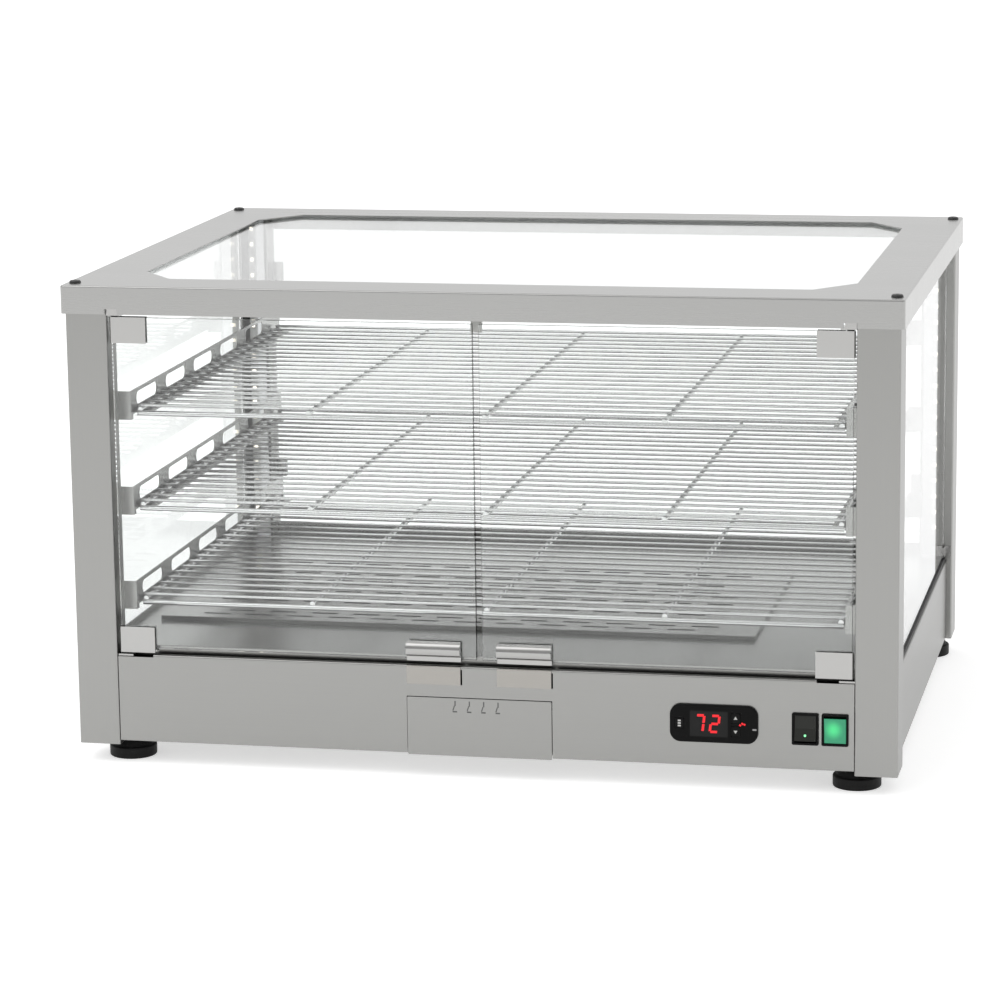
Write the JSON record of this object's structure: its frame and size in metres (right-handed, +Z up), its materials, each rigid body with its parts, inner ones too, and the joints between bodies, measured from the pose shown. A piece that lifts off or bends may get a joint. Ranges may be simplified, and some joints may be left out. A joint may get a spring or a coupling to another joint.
{
  "type": "pastry display cabinet",
  "caption": "Countertop heated pastry display cabinet: glass walls and roof, hinged glass doors, wire racks, slotted floor, water drawer and front controls on black feet.",
  "frame": {"origin": "on the counter, under the middle of the cabinet's plan outline", "axes": "+X to the cabinet's right as seen from its doors, +Y to the back, +Z up; the doors face -Y"},
  "size_m": [0.784, 0.6, 0.4599],
  "materials": {
    "stainless": "brushed stainless sheet",
    "bright_steel": "bright stainless fittings",
    "wire": "plated wire",
    "glass": "clear tempered glass",
    "dark_glass": "smoked display window",
    "rubber": "matt black rubber",
    "seal": "black silicone seal",
    "black_plastic": "satin black",
    "white_plastic": "pale plastic",
    "green_plastic": "lit green",
    "dark_screw": "blackened steel",
    "aluminium": "plain extrusion",
    "led": "light tape with lamps",
    "element": "heat-darkened steel sheath"
  },
  "bodies": {
    "cabinet": {"base_bottom": "stainless", "base_front_panel": "stainless", "base_left_panel": "stainless", "base_right_panel": "stainless", "base_rear_panel": "stainless", "floor_pan": "stainless", "post_front_left": "stainless", "post_front_right": "stainless", "post_rear_left": "stainless", "post_rear_right": "stainless", "top_frame": "stainless", "top_glass": "glass", "left_glass": "glass", "right_glass": "glass", "rear_glass": "glass", "glass_seals": "seal", "glass_clips": "bright_steel", "hinge_brackets": "bright_steel", "hinge_pins": "dark_screw", "hinge_bushes": "black_plastic", "door_stop": "white_plastic", "catch_plates": "stainless", "rack_rail_left_top": "stainless", "rack_rail_right_top": "stainless", "rack_rail_left_middle": "stainless", "rack_rail_right_middle": "stainless", "rack_rail_left_bottom": "stainless", "rack_rail_right_bottom": "stainless", "drawer_runners": "stainless", "controller_body": "black_plastic", "controller_window": "dark_glass", "switch_housings": "black_plastic", "feet": "rubber", "frame_screws": "dark_screw", "heating_element": "element", "heater_brackets": "stainless", "led_profiles": "aluminium", "led_tapes": "led", "power_inlet": "black_plastic", "terminal_block": "white_plastic", "safety_thermostat": "black_plastic", "temperature_probe": "bright_steel", "led_driver": "white_plastic"},
    "door_left": {"door_glass_left": "glass", "door_clamps_left": "bright_steel", "door_handle_left": "bright_steel"},
    "door_right": {"door_glass_right": "glass", "door_clamps_right": "bright_steel", "door_handle_right": "bright_steel"},
    "rack_top": {"rack_top": "wire"},
    "rack_middle": {"rack_middle": "wire"},
    "rack_bottom": {"rack_bottom": "wire"},
    "drawer": {"drawer_front": "stainless", "water_tray": "stainless"},
    "cover": {"slotted_cover": "stainless"},
    "key_set": {"key_set": "black_plastic"},
    "key_up": {"key_up": "black_plastic"},
    "key_down": {"key_down": "black_plastic"},
    "rocker_light": {"rocker_light": "black_plastic"},
    "rocker_heat": {"rocker_heat": "green_plastic"}
  },
  "joints": [
    {"name": "door_left_hinge", "type": "hinge", "parent": "cabinet", "child": "door_left", "pos_m": [-0.3427, -0.2892, 0.25], "axis": [0, 0, -1], "range_deg": [0, 104]},
    {"name": "door_right_hinge", "type": "hinge", "parent": "cabinet", "child": "door_right", "pos_m": [0.3427, -0.2892, 0.25], "axis": [0, 0, 1], "range_deg": [0, 104]},
    {"name": "rack_top_slide", "type": "slide", "parent": "cabinet", "child": "rack_top", "axis": [0, -1, 0], "range_m": [0, 0.02]},
    {"name": "rack_middle_slide", "type": "slide", "parent": "cabinet", "child": "rack_middle", "axis": [0, -1, 0], "range_m": [0, 0.02]},
    {"name": "rack_bottom_slide", "type": "slide", "parent": "cabinet", "child": "rack_bottom", "axis": [0, -1, 0], "range_m": [0, 0.02]},
    {"name": "drawer_slide", "type": "slide", "parent": "cabinet", "child": "drawer", "axis": [0, -1, 0], "range_m": [0, 0.18]},
    {"name": "cover_lift", "type": "slide", "parent": "cabinet", "child": "cover", "axis": [0, 0, 1], "range_m": [0, 0.03]},
    {"name": "key_set_press", "type": "slide", "parent": "cabinet", "child": "key_set", "axis": [0, 1, 0], "range_m": [0, 0.0006], "stiffness_N_per_m": 400},
    {"name": "key_up_press", "type": "slide", "parent": "cabinet", "child": "key_up", "axis": [0, 1, 0], "range_m": [0, 0.0006], "stiffness_N_per_m": 400},
    {"name": "key_down_press", "type": "slide", "parent": "cabinet", "child": "key_down", "axis": [0, 1, 0], "range_m": [0, 0.0006], "stiffness_N_per_m": 400},
    {"name": "rocker_light_tilt", "type": "hinge", "parent": "cabinet", "child": "rocker_light", "pos_m": [0.304, -0.2912, 0.0608], "axis": [1, 0, 0], "range_deg": [0, 14]},
    {"name": "rocker_heat_tilt", "type": "hinge", "parent": "cabinet", "child": "rocker_heat", "pos_m": [0.3312, -0.2912, 0.0608], "axis": [-1, 0, 0], "range_deg": [0, 14]}
  ]
}
